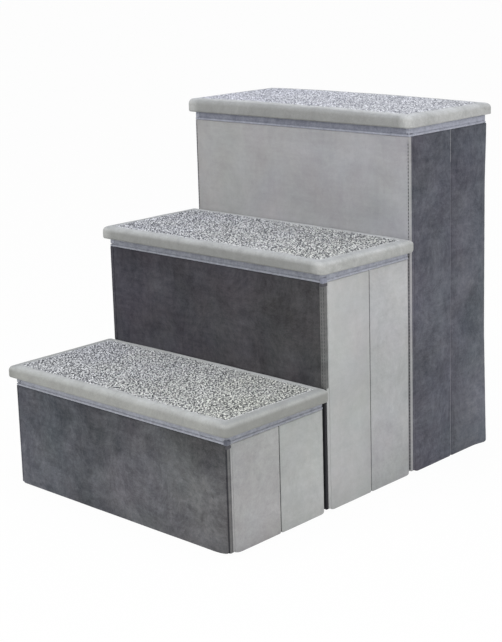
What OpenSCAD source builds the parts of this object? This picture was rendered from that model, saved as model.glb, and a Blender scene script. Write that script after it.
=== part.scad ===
// Folding storage steps for a pet, in millimetres, +Z up, treads facing -Y.
// Three storage boxes of rising height stand one behind another on the floor.
// Each box has a front wall, a rear wall and two side walls that crease in the
// middle, so an empty box folds flat from front to back. Each has a lift-off padded lid.
// The origin is on the floor, under the middle of the whole object.

/* [Boxes] */
// Width of every box across its side walls
body_w = 400; // [320:1:480]
// Depth of every box, from front face to rear face
box_d = 178.5; // [150:0.5:220]
// Height of the lowest box's walls, with their binding
first_wall_h = 153.5; // [110:0.5:200]
// How much higher each next box is
step_rise = 163.9; // [100:0.1:200]
// Room between two boxes, filled by the link tapes
link_t = 2.6; // [2:0.1:5]

/* [Walls] */
// Thickness of a front wall
front_t = 9; // [7:0.5:12]
// Thickness of a rear wall
rear_t = 6; // [5:0.5:9]
// Thickness of a folding side wall
side_t = 8; // [6:0.5:11]
// Thickness of the padded velour over the boards
velour_t = 2.5; // [1.5:0.1:3]
// Height of the binding that shows above the velour
binding_h = 12.5; // [8:0.5:20]
// How far the binding lies inside the velour's face
binding_inset = 1.2; // [0.6:0.1:1.5]
// Rounding of the outer upright corners
corner_r = 4; // [2:0.5:5]
// Rounding of the upright edges beside a seam or crease
seam_r = 1.4; // [0.6:0.1:2]
// Rounding of each panel's lower corners
foot_r = 5; // [2:0.5:8]
// Thickness of the cloth base sewn between the walls
base_t = 1.2; // [0.8:0.1:2]
// Height of the cloth base over the floor
base_lift = 1.5; // [1:0.1:3]

/* [Folds] */
// Width of the cloth hinge at a corner
hinge_gap = 1; // [0.6:0.1:2]
// Width of the crease between two halves of a side wall
crease_gap = 1.2; // [0.8:0.1:2]
// How far the crease that shows lies behind the line it folds on
crease_shift = 3.5; // [1:0.1:5]
// Gap between a side wall and the end of a rear wall
end_gap = 0.5; // [0.3:0.1:1]

/* [Lids] */
// How far a lid stands out past the walls, in front and at the sides
lid_overhang = 8; // [4:0.5:14]
// Gap between a lid's rear edge and the next riser
lid_rear_gap = 1.5; // [1:0.1:3]
// Gap between a lid and the top of the walls
lid_lift = 1.2; // [0.8:0.1:2]
// Height of a lid's plush border
border_h = 15.6; // [13:0.1:20]
// Width of the border that shows round the carpet
border_w = 13.5; // [11:0.5:20]
// Thickness of the plush where it wraps the foam
plush_t = 2.6; // [1.5:0.1:3]
// Rounding of a lid's corners, seen from above
lid_r = 8.5; // [8.5:0.5:20]
// Rounding of the border's upper edge
border_top_r = 7; // [5:0.5:8]
// Rounding of the border's lower edge
border_low_r = 4.5; // [3:0.5:4.8]
// Thickness of the board in a lid
lid_board_t = 4; // [3:0.5:5]
// Thickness of the carpet
carpet_t = 3.4; // [2.5:0.1:4.5]
// Rounding of the carpet's corners
carpet_r = 7; // [3:0.5:12]
// How far the pile stands above the border
pile_h = 0.8; // [0.4:0.1:1.5]
// Width of the carpet's edge that slopes down to the border
pile_slope = 5; // [3:0.5:8]
// How far the border turns in under the lid's board
turn_in = 24; // [22:0.5:40]
// Thickness of the border where it is turned in
turn_t = 1; // [0.6:0.1:1.4]

/* [Hook tapes] */
// Length of each hook strip under a lid
hook_l = 90; // [50:1:120]
// Distance from the middle to each hook strip
hook_x = 95; // [70:1:110]
// Gap between a hook strip and the wall under it
hook_gap = 0.2; // [0.1:0.1:0.3]
// Width of each link tape between two boxes
link_w = 50; // [20:1:80]
// Distance from the middle to each link tape
link_x = 120; // [50:1:140]
// Distance from a link tape to the upper and lower end of the lower wall
link_margin = 35; // [25:1:45]

/* [Hidden] */
SIDES = ["right", "left"];
HALVES = ["front", "rear"];

boxes = 3;
overrun = 10;
arc_steps = 6;
corner_fn = 32;
binding_r = 1.2;
base_gap = 0.3;
hook_inset = 0.8;

pitch = box_d + link_t;
lid_w = body_w + 2*lid_overhang;
lid_d = lid_overhang + pitch - lid_rear_gap;
total_d = (boxes - 1)*pitch + lid_d;
front_hinge_y = front_t + hinge_gap/2;
rear_hinge_y = box_d - rear_t - hinge_gap/2;
fold_y = (front_hinge_y + rear_hinge_y)/2;
crease_y = fold_y + crease_shift;
rear_w = body_w - 2*(side_t + end_gap);
foam_z = turn_t + lid_board_t;
foam_top = border_h - carpet_t;

light_velour = "#b9bab9";
dark_velour = "#4b4c52";
lavender = "#8f90a3";
plush = "#a9aaa5";
speckle = "#c3c4c6";
hook_grey = "#3c3c40";
foam_white = "#e6e4dc";
hardboard = "#8a6f52";
cloth_grey = "#6d6e78";

function wall_h(k) = first_wall_h + (k - 1)*step_rise;
function box_y(k) = (k - 1)*pitch + lid_overhang - total_d/2;
function face_color(k) = k == 3 ? light_velour : dark_velour;
function side_color(k) = k == 3 ? dark_velour : light_velour;

// Points of a rectangle from p to q, with a radius for each corner, counted from p anticlockwise
function arc(x, y, r, start) =
    [for (i = [0:arc_steps]) [x + r*cos(start + 90*i/arc_steps), y + r*sin(start + 90*i/arc_steps)]];
function corner(x, y, r, start) = r > 0 ? arc(x, y, r, start) : [[x, y]];
function rounded(p, q, r) = concat(
    corner(p.x + r[0], p.y + r[0], r[0], 180), corner(q.x - r[1], p.y + r[1], r[1], 270),
    corner(q.x - r[2], q.y - r[2], r[2], 0), corner(p.x + r[3], q.y - r[3], r[3], 90));

// A wall lies along X with its outer face at Y zero and its inner face at Y t
module padded_velour(w, h, t, start_r, end_r) {
    difference() {
        intersection() {
            linear_extrude(h) polygon(rounded([0, 0], [w, t], [start_r, end_r, 0, 0]));
            translate([0, t, 0]) rotate([90, 0, 0])
                linear_extrude(t) polygon(rounded([0, 0], [w, h], [foot_r, foot_r, 0, 0]));
        }
        translate([velour_t, velour_t, velour_t]) cube([w - 2*velour_t, t, h]);
    }
}

// The board is wrapped in lining, and its bound head covers the top edge of the velour
module bound_board(w, h, t) {
    translate([velour_t, velour_t, velour_t]) cube([w - 2*velour_t, t - velour_t, h - velour_t - binding_r]);
    translate([binding_inset, 0, h]) rotate([90, 0, 90]) linear_extrude(w - 2*binding_inset)
        polygon(rounded([binding_inset, -binding_h], [t, 0], [0, 0, binding_r, binding_r]));
}

module wall_layer(layer, w, h, t, start_r, end_r, tone) {
    if (layer == "velour") color(tone) padded_velour(w, h - binding_h, t, start_r, end_r);
    else color(lavender) bound_board(w, h, t);
}

module front_wall(k, layer) {
    translate([-body_w/2, box_y(k), 0])
        wall_layer(layer, body_w, wall_h(k), front_t, corner_r, corner_r, face_color(k));
}

module rear_wall(k, layer) {
    translate([rear_w/2, box_y(k) + box_d, 0]) rotate([0, 0, 180])
        wall_layer(layer, rear_w, wall_h(k), rear_t, seam_r, seam_r, side_color(k));
}

// The rear half of a side wall runs on past its hinge, over the end of the rear wall
module side_wall(k, side, half, layer) {
    front_y = half == "front" ? front_t + hinge_gap : crease_y + crease_gap/2;
    rear_y = half == "front" ? crease_y - crease_gap/2 : box_d;
    mirror([side == "left" ? 1 : 0, 0, 0])
        translate([body_w/2, box_y(k) + front_y, 0]) rotate([0, 0, 90])
            wall_layer(layer, rear_y - front_y, wall_h(k), side_t, seam_r,
                half == "rear" ? corner_r : seam_r, side_color(k));
}

// Outer shape of a lid's border: a flat roll with round corners
module border_corner() {
    rotate_extrude($fn = corner_fn)
        polygon(rounded([0, 0], [lid_r, border_h], [0, border_low_r, border_top_r, 0]));
}

module lid_plan(inset, r) {
    translate([-lid_w/2, 0]) polygon(rounded([inset, inset], [lid_w - inset, lid_d - inset], [r, r, r, r]));
}

module lid_border() {
    difference() {
        hull() for (x = [lid_r - lid_w/2, lid_w/2 - lid_r], y = [lid_r, lid_d - lid_r])
            translate([x, y, 0]) border_corner();
        translate([0, 0, turn_t]) linear_extrude(foam_top - turn_t) lid_plan(plush_t, lid_r - plush_t);
        translate([0, 0, turn_t]) linear_extrude(border_h) lid_plan(border_w, carpet_r);
        translate([0, 0, -overrun]) linear_extrude(overrun + border_h) lid_plan(turn_in, carpet_r);
    }
}

// The pile slopes down to the border all round
module lid_carpet() {
    hull() {
        translate([0, 0, foam_top]) linear_extrude(carpet_t) lid_plan(border_w, carpet_r);
        translate([0, 0, foam_top]) linear_extrude(carpet_t + pile_h) lid_plan(border_w + pile_slope, carpet_r);
    }
}

// Hook strips lie over the front wall and the rear wall, and hold on the binding
module lid_hooks() {
    front_strip = front_t - 2*hook_inset - binding_inset;
    rear_strip = rear_t - 2*hook_inset - binding_inset;
    z = hook_gap - lid_lift;
    for (x = [-hook_x, hook_x]) {
        translate([x - hook_l/2, lid_overhang + binding_inset + hook_inset, z])
            cube([hook_l, front_strip, lid_lift - hook_gap]);
        translate([x - hook_l/2, lid_overhang + box_d - rear_t + hook_inset, z])
            cube([hook_l, rear_strip, lid_lift - hook_gap]);
    }
}

module lid(k, layer) {
    translate([0, box_y(k) - lid_overhang, wall_h(k) + lid_lift]) {
        if (layer == "border") color(plush) lid_border();
        if (layer == "carpet") color(speckle) lid_carpet();
        if (layer == "board") color(hardboard)
            translate([0, 0, turn_t]) linear_extrude(lid_board_t) lid_plan(plush_t, lid_r - plush_t);
        if (layer == "foam") color(foam_white)
            translate([0, 0, foam_z]) linear_extrude(foam_top - foam_z) lid_plan(plush_t, lid_r - plush_t);
        if (layer == "hooks") color(hook_grey) lid_hooks();
    }
}

module base_cloth(k) {
    inner_w = body_w - 2*(side_t + base_gap);
    color(cloth_grey) translate([-inner_w/2, box_y(k) + front_t + base_gap, base_lift])
        cube([inner_w, box_d - front_t - rear_t - 2*base_gap, base_t]);
}

// Two upright pairs of hook and loop tape between box k and the next
module link_tapes(k) {
    for (x = [-link_x, link_x])
        color(hook_grey) translate([x - link_w/2, box_y(k) + box_d, link_margin])
            cube([link_w, link_t, wall_h(k) - binding_h - 2*link_margin]);
}

for (k = [1:3]) {
    for (layer = ["velour", "board"]) {
        front_wall(k, layer);
        rear_wall(k, layer);
        for (side = SIDES, half = HALVES)
            side_wall(k, side, half, layer);
    }
    for (layer = ["board", "foam", "border", "carpet", "hooks"])
        lid(k, layer);
    base_cloth(k);
}
for (k = [1:2])
    link_tapes(k);
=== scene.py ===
"""Folding storage steps for a pet: velour boxes with plush-bordered, carpet-topped lids.

Every size is in metres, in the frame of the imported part: +Z up, treads facing -Y.
A wall is built lying along u with its outer face at v = 0, then set on its body's box.
"""
import math

import bmesh
import bpy
import numpy as np
from mathutils import Matrix, Vector, noise

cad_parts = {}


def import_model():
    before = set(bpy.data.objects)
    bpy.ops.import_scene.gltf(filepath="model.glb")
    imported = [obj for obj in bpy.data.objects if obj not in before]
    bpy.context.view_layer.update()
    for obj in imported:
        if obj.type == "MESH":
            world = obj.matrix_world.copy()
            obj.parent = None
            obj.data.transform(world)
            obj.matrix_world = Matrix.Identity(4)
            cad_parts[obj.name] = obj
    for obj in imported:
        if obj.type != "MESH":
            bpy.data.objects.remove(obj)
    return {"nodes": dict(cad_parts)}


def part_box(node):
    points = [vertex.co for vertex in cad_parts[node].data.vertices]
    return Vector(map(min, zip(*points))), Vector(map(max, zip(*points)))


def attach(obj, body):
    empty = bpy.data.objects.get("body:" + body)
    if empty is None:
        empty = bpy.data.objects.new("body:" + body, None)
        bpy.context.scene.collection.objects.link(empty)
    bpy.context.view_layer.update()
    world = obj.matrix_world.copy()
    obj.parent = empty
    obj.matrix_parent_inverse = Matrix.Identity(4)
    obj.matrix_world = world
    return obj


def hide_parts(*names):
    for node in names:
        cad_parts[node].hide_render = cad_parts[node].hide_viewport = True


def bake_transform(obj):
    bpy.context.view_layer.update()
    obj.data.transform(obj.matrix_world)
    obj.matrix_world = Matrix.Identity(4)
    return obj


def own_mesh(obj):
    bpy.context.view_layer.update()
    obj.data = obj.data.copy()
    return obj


MM = 0.001
BOXES = (1, 2, 3)
SIDES = ("right", "left")
HALVES = ("front", "rear")
FRONT_BODY = {1: "box_1_front", 2: "riser_2", 3: "riser_3"}
REAR_BODY = {1: "riser_2", 2: "riser_3", 3: "box_3_rear"}

# Materials. Every velour changes slowly in red (0) and blue (2): channel, noise scale, levels
SCREEN_GAMMA = 2.2
HUE = ((0, 12, 3.5), (2, 11, 3.5))
DENT_TONE = 0.7
NAP_TONE = 0.74
# Where the plush's painted light turns from the front's tones to the sides', in x
FRONT_TO_SIDE_LIGHT = (0.186, 0.2)
WEAVE_SPREAD = 18
LID_REACH = 0.1876
LID_HALF_W = 0.19

# Walls. A foot is how far along the wall its edge curves up, and how high at the wall's end
PAD_STEP = 7 * MM
PAD_DEPTHS = (0, 0.25, 0.5, 0.75, 1, 1.4, 2.2)
PAD_FACE = 0.55
EDGE_LINES = 7
LINING_T = 0.5 * MM
LINING_GAP = 0.1 * MM
CORNER_R = 3.6 * MM
HINGE_R = 1.4 * MM
CREASE_R = 1.1 * MM
LOW_R = 0.8 * MM
TOP_R = 1.2 * MM
CROWN = 0.9 * MM
CROWN_REACH = 14 * MM
CROWN_SINK = 0.25
TOP_ROLL = 0.5 * MM
TOP_ROLL_Z = 6 * MM
TOP_ROLL_W = 5 * MM
SLACK = 0.35 * MM
SLACK_SPAN = 60 * MM
FINE_SLACK = 0.35
PUCKER = 0.1 * MM
PUCKER_SPAN = 11 * MM
PUCKER_REACH = 4 * MM
FOOT_BLEND = 30 * MM
FRONT_FEET = ((6 * MM, 1.8 * MM), (26 * MM, 5 * MM))
SIDE_FOOT = {1: (14 * MM, 4 * MM), 2: (8 * MM, 3 * MM), 3: (8 * MM, 3 * MM)}
REAR_FOOT = (7 * MM, 6 * MM)
HINGE_FOOT = (2.5 * MM, 2 * MM)
CREASE_FOOT = (3 * MM, 2.6 * MM)
FLARE_TOP = 2 * MM
FLARE_FOOT = 4.2 * MM
FLARE_H = 170 * MM
FLARE_REACH = 30 * MM

# Lining and its binding
LINING_LOW = 3 * MM
BINDING_INSET = 1.2 * MM
BINDING_R = 2.2 * MM
BINDING_SLACK = 0.15 * MM
BINDING_END = 0.25 * MM
GROOVE_H = 0.9 * MM
GROOVE_DEEP = 0.3 * MM
GROOVE_LOW = 0.3 * MM
HEM_H = 3.1 * MM
HEM_T = 1.6 * MM
HEM_IN = 1.0 * MM
HEM_SLACK = 0.1 * MM

# Front corners, measured in from the corner along the front and along the side
STRIP_LIFT = {"right": 3.6 * MM, "left": 1.2 * MM}
STRIP_STOP = 9.3 * MM
STRIP_R = 0.5 * MM
STRIP_END = 0.35 * MM
STRIP_TAPER = (0.72, 0.93, 1)
STRIP_GAP = 0.1 * MM
STRIP_BACK = 2 * MM
CORNER_FOLD_R = 1.2 * MM
FACE_END = {1: 1.9 * MM, 2: 5.6 * MM, 3: 2.0 * MM}
CORD_STOP = 1.2 * MM
EDGE_STOP = 6.6 * MM
WRAP_STOP = 8.4 * MM
SLIT_STOP = 4.4 * MM
PIPING_STOP = 4.6 * MM
CHANNEL_PLACE = {1: 5.4 * MM, 2: 2.4 * MM}
CHANNEL_W = 0.5 * MM
CHANNEL_DEEP = 0.6 * MM
CHANNEL_R = 0.1 * MM
LID_COVERS = 4 * MM
BLOCK_FRONT = 4.0 * MM
BAND_END = 1.5 * BLOCK_FRONT
HEM_END = 0.8 * BLOCK_FRONT
BLOCK_SIDE = {1: 7.4 * MM, 2: 8.6 * MM}
BLOCK_H = {1: 6.2 * MM, 2: 6.8 * MM}
TAB_H = 5 * MM
TAB_GAP = 0.7 * MM
STRIP_WAVE = 0.08 * MM
STRIP_WAVE_SPAN = 12 * MM

# Stitching. A stitch's rings are their places along it and their sizes
STITCH_PITCH = 4.6 * MM
STITCH_L = 2.9 * MM
STITCH_R = 0.42 * MM
STITCH_FLAT = 0.9
STITCH_SIDES = 6
STITCH_RINGS = ((-1, 0.25), (-0.75, 0.8), (0, 1), (0.75, 0.8), (1, 0.25))

# Lids
TURN_IN = 24 * MM
TURN_T = 1.0 * MM
LID_R = 8.5 * MM
REAR_RIGHT_R = 2 * MM
FRONT_LEFT_R = 5 * MM
LEAST_R = 1.5 * MM
CORNER_POINTS = 9
BORDER_W = 13.5 * MM
BORDER_LOW_R = 2.6 * MM
BORDER_DROP = 1.7 * MM
BORDER_TOP_R = 7 * MM
BORDER_T = 1.6 * MM
BORDER_FLAT = 10 * MM
BORDER_SEAM = ((-1.4, 0.35), (-0.4, 1.3), (0.2, 2.6), (-1.2, 3.2))
LID_STEP = 9 * MM
LID_SLACK = 0.35 * MM
LID_SLACK_FROM = 3 * MM
REST_FADE = 20 * MM
REST_END = 4 * MM
OVERLOCK_R = 0.85 * MM
OVERLOCK_DEEP = 0.8 * MM
OVERLOCK_OUT = 0.3 * MM
LOOP_PITCH = 2.25 * MM
LOOP_R = 1.3 * MM
LOOP_H = 1.9 * MM
LOOP_SIDES = 5
LOOP_JITTER = 0.7 * MM
LOOP_RINGS = ((1.0, 0.84), (0.0, 0.68))
LOOP_WORN = 6 * MM
TONE_CONTRAST = {1: 0.6, 2: 0.4, 3: 0}
CARPET_R = 7 * MM
CARPET_MARGIN = 0.6 * MM
CARPET_OVER = 0.7 * MM
CARPET_RAGGED = 1.1 * MM
# From left to right, how many mm a lid's top swells and sinks to the rear. Then its edge's sag
LID_SWELL = {1: (-1.2, 0.5, 0.8, 0.7, 0), 2: (0, 0.7, 0.9, 0.7, 0), 3: (2.4, 3.7, 3.3, 2.2, 0)}
LID_SINK = {1: (0.3, 1.0), 2: (0.3, 2.2), 3: (0, 0.4)}
END_SAG = {1: 1.0, 2: 1.3, 3: -0.6}

# Cloth hinges
WEB_T = 0.5 * MM
WEB_DEEP = 1.0 * MM
WEB_R = 0.2 * MM
WEB_SHORT = 0.2 * MM
WEB_OVER = 0.9 * MM
BAND_OVER = 1.5 * MM
CORNER_OVER = 0.6 * MM
REAR_OVER = 0.5 * MM
BRIDGE_STEPS = 7
CREASE_HEAD_H = 45 * MM

# Base cloths
SHEET_LINES = (40, 18)
SHEET_T = 0.3 * MM
SHEET_SLACK = 0.5 * MM
SHEET_SPAN = 45 * MM
SHEET_HELD = 20 * MM

# Camera, fitted to the photograph
EYE = Vector((1.3597, -1.4391, 0.7220))
AIM = Vector((-0.0069, 0.0109, 0.2997))
ROLL = math.radians(1.628)
LENS = 81.82
SENSOR_W = 36
SHIFT = (-0.0052, -0.1035)

# Studio. A lamp is its name, its place, what it points at and its power
FLOOR_REACH = 40
FLOOR_COLOUR = (0.78, 0.78, 0.78, 1)
FLOOR_GLOW = 0.965
WHITE = (1, 1, 1, 1)
AMBIENT = 0.62
LAMP_SIZE = 1.6
LAMPS = (("over", (0.2, -0.4, 2.0), (0, 0, 0.3), 17),
         ("right", (2.2, -0.6, 1.2), (0, 0, 0.25), 16),
         ("front", (-0.9, -2.4, 1.1), (0, 0, 0.25), 14))

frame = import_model()
scene = bpy.context.scene
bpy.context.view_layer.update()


def rgb(levels):
    """A colour written as screen levels from 0 to 255, as linear values."""
    def linear(level):
        share = level / 255
        return share / 12.92 if share <= 0.04045 else ((share + 0.055) / 1.055) ** 2.4
    return (*(linear(level) for level in levels), 1)


def grey(level, red=0, blue=0):
    """The screen levels of a grey with that much more red and blue."""
    return (level + red, level, level + blue)


# Materials

class Nodes:
    """A material's node tree, with short calls for the nodes used here."""

    def __init__(self, name):
        self.material = bpy.data.materials.new(name)
        self.material.use_nodes = True
        self.tree = self.material.node_tree
        self.place = self.node("ShaderNodeTexCoord", {}, "Object")

    def feed(self, node, inputs):
        """Gives each input its source, which is another node's output or a plain value."""
        for socket, source in inputs.items():
            if hasattr(source, "is_output"):
                self.tree.links.new(source, node.inputs[socket])
            else:
                node.inputs[socket].default_value = source

    def node(self, kind, inputs, output, **settings):
        made = self.tree.nodes.new(kind)
        for key, value in settings.items():
            setattr(made, key, value)
        self.feed(made, inputs)
        return made.outputs[output]

    def noise(self, scale, detail, stretch=(1, 1, 1), rough=0.5, warp=0.0):
        place = self.node("ShaderNodeMapping", {"Scale": stretch, "Vector": self.place}, "Vector")
        return self.node("ShaderNodeTexNoise", {"Vector": place, "Scale": scale, "Detail": detail,
                                                "Roughness": rough, "Distortion": warp}, "Fac")

    def spread(self, value, low, high, to_low=0.0, to_high=1.0):
        return self.node("ShaderNodeMapRange", {"Value": value, "From Min": low, "From Max": high,
                                                "To Min": to_low, "To Max": to_high}, "Result")

    def mix(self, share, first, second, blend="MIX"):
        return self.node("ShaderNodeMix", {0: share, 6: first, 7: second}, 2,
                         data_type="RGBA", blend_type=blend)

    def maths(self, operation, first, second):
        return self.node("ShaderNodeMath", {0: first, 1: second}, 0, operation=operation)

    def split(self, vector, axis):
        return self.node("ShaderNodeSeparateXYZ", {0: vector}, axis)

    def drift(self, axis, low, high, levels):
        """A share that rises along an axis, or falls where levels is negative, and its levels."""
        start = 1.0 if levels < 0 else 0.0
        return self.spread(self.split(self.place, axis), low, high, start, 1 - start), abs(levels)

    def patches(self, scale):
        """Slow, soft patches from 0 to 1."""
        return self.spread(self.noise(scale, 3, rough=0.6), 0.3, 0.7)

    def bump(self, height, distance, strength, under=None):
        inputs = {"Height": height, "Distance": distance, "Strength": strength}
        if under is not None:
            inputs["Normal"] = under
        return self.node("ShaderNodeBump", inputs, "Normal")

    def finish(self, colour, normal, rough, shine, sheen=0.0, sheen_rough=0.5):
        self.feed(self.tree.nodes["Principled BSDF"], {
            "Base Color": colour, "Normal": normal, "Roughness": rough, "Specular IOR Level": shine,
            "Sheen Weight": sheen, "Sheen Roughness": sheen_rough})
        return self.material


def velour(name, tone, clouds, mottle, streaks, spots=0.0, sheen=0.02,
           painted_light_drifts=(), tints=(), patch=None):
    """Short pile: cloudy where it was brushed, mottled down to its grain, with faint streaks.

    tone is its colour in screen levels. clouds, mottle and streaks are the levels that each spreads
    over, and spots is how dark its dents are. The drifts are painted light and shade: each is an
    axis, where on it the lightening starts and stops, and by how many levels. tints change its red
    (0) or blue (2) alone in the same way. patch is the middle, reach and levels of a place that is
    brushed lighter.
    """
    n = Nodes(name)
    parts = [(n.spread(n.noise(7, 2, rough=0.6, warp=0.8), 0.25, 0.75), clouds),
             (n.spread(n.noise(15, 7, rough=0.97, warp=0.3), 0.35, 0.65), mottle),
             (n.spread(n.noise(90, 3, stretch=(1.5, 1.5, 0.25)), 0.3, 0.7), streaks),
             (n.spread(n.noise(110, 3, stretch=(0.2, 0.2, 1.6)), 0.3, 0.7), 1.3 * streaks)]
    if patch is not None:
        middle, reach, levels = patch
        apart = n.node("ShaderNodeVectorMath", {0: n.place, 1: middle}, "Value", operation="DISTANCE")
        ragged = n.spread(n.noise(25, 4, rough=0.7), 0, 1, -0.8 * reach, 0.8 * reach)
        apart = n.maths("ADD", apart, ragged)
        parts.append((n.spread(apart, 0.3 * reach, reach, 1.0, 0.5), 2 * levels))
    # Painted light and shade: the colour slowly lightens along each given axis
    parts += [n.drift(*way) for way in painted_light_drifts]
    span = sum(levels for _, levels in parts)
    share = 0.0
    for value, levels in parts:
        share = n.maths("ADD", share, n.maths("MULTIPLY", value, levels / span))
    hues = [(channel, n.patches(scale), levels) for channel, scale, levels in HUE]
    hues += [(channel, *n.drift(*way)) for channel, *way in tints]
    middle = list(tone)
    for channel, _, levels in hues:
        middle[channel] -= levels / 2
    low, high = (tuple((level + way * span / 2) / 255 for level in middle) + (1,) for way in (-1, 1))
    mixed = n.mix(share, low, high)
    for channel, value, levels in hues:
        added = [0, 0, 0, 1]
        added[channel] = levels / 255
        mixed = n.mix(value, mixed, added, "ADD")
    linear = n.node("ShaderNodeGamma", {"Color": mixed, "Gamma": SCREEN_GAMMA}, "Color")
    dents = n.spread(n.noise(62, 3, rough=0.6, warp=0.5), 0.6, 0.76, 0.0, spots)
    colour = n.mix(dents, linear, rgb(DENT_TONE * level for level in tone))
    grain = n.noise(1100, 2)
    fleck = n.noise(420, 2, stretch=(1, 1, 0.6))
    normal = n.bump(grain, 0.25 * MM, 0.5)
    normal = n.bump(fleck, 0.3 * MM, 0.45, normal)
    return n.finish(colour, normal, rough=0.95, sheen=sheen, sheen_rough=0.35, shine=0.08)


def plush(name, front, side, blue=0):
    """Short dense plush, with light and shade painted into its colour by which way each face turns.

    front and side are each three screen levels of painted light and shade, for the front runs and
    the side runs: on the border's flank, its shoulder and its top.
    """
    n = Nodes(name)
    up = n.split(n.node("ShaderNodeNewGeometry", {}, "Normal"), "Z")

    # Painted light and shade: a tone for the flank, the shoulder and the top, by how far up each face
    # turns
    def painted_lighting(flank, shoulder, top):
        low, middle = rgb(grey(flank, -1, blue - 4)), rgb(grey(shoulder, -2, blue - 1))
        colour = n.mix(n.spread(up, 0.05, 0.55), low, middle)
        return n.mix(n.spread(up, 0.65, 0.98), colour, rgb(grey(top, -3, blue + 2)))

    # Painted light: the front runs get their lit tones, and the sides get theirs
    across = n.maths("ABSOLUTE", n.split(n.place, "X"), 0)
    colour = n.mix(n.spread(across, *FRONT_TO_SIDE_LIGHT), painted_lighting(*front), painted_lighting(*side))
    shade = rgb(grey(NAP_TONE * front[0], -1, -2))
    nap = n.noise(20, 7, rough=0.95, warp=0.4)
    tuft = n.noise(650, 3, rough=0.7)
    colour = n.mix(n.spread(nap, 0.35, 0.65, 0.0, 0.5), colour, shade)
    colour = n.mix(n.spread(tuft, 0.25, 0.75, 0.0, 0.3), colour, shade)
    normal = n.bump(tuft, 0.5 * MM, 0.6)
    return n.finish(colour, normal, rough=0.95, sheen=0.15, sheen_rough=0.45, shine=0.05)


def tape(name, level, blue):
    """Close-woven tape: fine ribs across its length."""
    n = Nodes(name)
    low, high = (rgb(grey(level + way * WEAVE_SPREAD, -3, blue - 2)) for way in (-1, 1))
    rib = n.node("ShaderNodeTexWave", {"Vector": n.place, "Scale": 420, "Distortion": 1.5}, "Fac",
                 wave_type="BANDS", bands_direction="DIAGONAL")
    tone = n.spread(n.noise(120, 5, rough=0.9), 0.36, 0.64)
    colour = n.mix(tone, low, high)
    colour = n.mix(n.spread(rib, 0, 1, 0.0, 0.2), colour, low)
    normal = n.bump(rib, 0.12 * MM, 0.6)
    return n.finish(colour, normal, rough=0.7, sheen=0.15, shine=0.25)


def loops(name, levels, blue, rear, painted_rear_shade, warm):
    """Each loop of the carpet has its own tone, kept on its points.

    levels are the tones, and blue is how blue they are. Painted shade darkens the pile from the
    lid's front to its rear, at y = rear, by its given factor. Its blue falls by the factor warm from
    left to right, and by half as much in slow patches.
    """
    n = Nodes(name)
    tones = [rgb(grey(level, -2, blue)) for level in levels]
    tone = n.node("ShaderNodeAttribute", {}, "Fac", attribute_name="tone")
    ramp = n.node("ShaderNodeValToRGB", {"Fac": tone}, "Color")
    stops = ramp.node.color_ramp.elements
    stops[0].color = tones[0]
    stops[1].color = tones[-1]
    for i, colour in enumerate(tones[1:-1]):
        stops.new((i + 1) / (len(tones) - 1)).color = colour
    twist = n.noise(900, 2)
    colour = n.mix(n.spread(twist, 0.3, 0.7, 0.0, 0.25), ramp, tones[1])
    # Painted shade: the pile darkens towards the lid's rear
    back = n.spread(n.split(n.place, "Y"), rear - LID_REACH, rear)
    colour = n.mix(back, colour, (painted_rear_shade, painted_rear_shade, painted_rear_shade, 1), "MULTIPLY")
    across = n.spread(n.split(n.place, "X"), -LID_HALF_W, LID_HALF_W)
    colour = n.mix(across, colour, (1, 1, warm, 1), "MULTIPLY")
    colour = n.mix(n.patches(14), colour, (1, 1, 0.5 + 0.5 * warm, 1), "MULTIPLY")
    normal = n.bump(twist, 0.3 * MM, 0.5)
    return n.finish(colour, normal, rough=0.9, sheen=0.1, shine=0.1)


def grainy(name, low, high, scale, rough, depth):
    """A plain grain between two tones, in screen levels."""
    n = Nodes(name)
    grain = n.noise(scale, 4, rough=0.65)
    colour = n.mix(n.spread(grain, 0.3, 0.7), rgb(low), rgb(high))
    return n.finish(colour, n.bump(grain, depth, 0.6), rough=rough, shine=0.2)


# The values of each velour, in the order of velour(). The drifts after each sheen are painted light
# and shade.
FACE_LOOKS = {
    1: (grey(92, -1, 4), 28, 36, 6, 0.5, 0.06, (("Z", 0, 0.142, -12), ("X", -0.2, 0.2, -7)),
        ((0, "X", -0.2, 0.2, 2.8), (2, "X", -0.2, 0.2, -4.8)), ((0.14, -0.267, 0.04), 0.1, 14)),
    2: (grey(77, 1, 4), 7, 26, 5, 0.15, 0.04, (("Z", 0, 0.3, -10), ("Z", 0.17, 0.31, -5)),
        ((2, "X", -0.2, 0.2, -4.4),)),
    3: (grey(162, 0, 2), 16, 13, 3, 0.05, 0.02, (("Z", 0.34, 0.47, -7),), ((2, "X", -0.2, 0.2, 4),))}
FLANK_LOOKS = {
    (1, "front"): (grey(159), 8, 22, 3, 0.1, 0.02, (("Y", -0.257, -0.177, 2), ("Z", 0, 0.142, 3))),
    (1, "rear"): (grey(171, -2, -1), 3, 17, 2.5, 0.05, 0.02,
                  (("Y", -0.17, -0.09, 8), ("Z", 0, 0.142, -4))),
    (2, "front"): (grey(174, -1, 0), 11, 13, 2, 0.05, 0.02,
                   (("Z", 0, 0.3, 15), ("Y", -0.076, 0.004, -4))),
    (2, "rear"): (grey(173, -1, 1), 12, 20, 3, 0.05, 0.02, (("Z", 0, 0.3, 18), ("Y", 0.01, 0.09, 4))),
    (3, "front"): (grey(97, -1, 8), 20, 35, 5, 0.2, 0.06,
                   (("Y", 0.105, 0.185, 5), ("Z", 0, 0.47, -6)), ((0, "Y", 0.1, 0.185, -2.2),)),
    (3, "rear"): (grey(98, -2, 7), 16, 34, 5, 0.2, 0.06,
                  (("Z", 0, 0.47, -12), ("Y", 0.19, 0.27, 12)), ((0, "Y", 0.19, 0.27, -2.2),))}
FACE = {k: velour(f"front_{k}_velour_cloth", *look) for k, look in FACE_LOOKS.items()}
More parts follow.
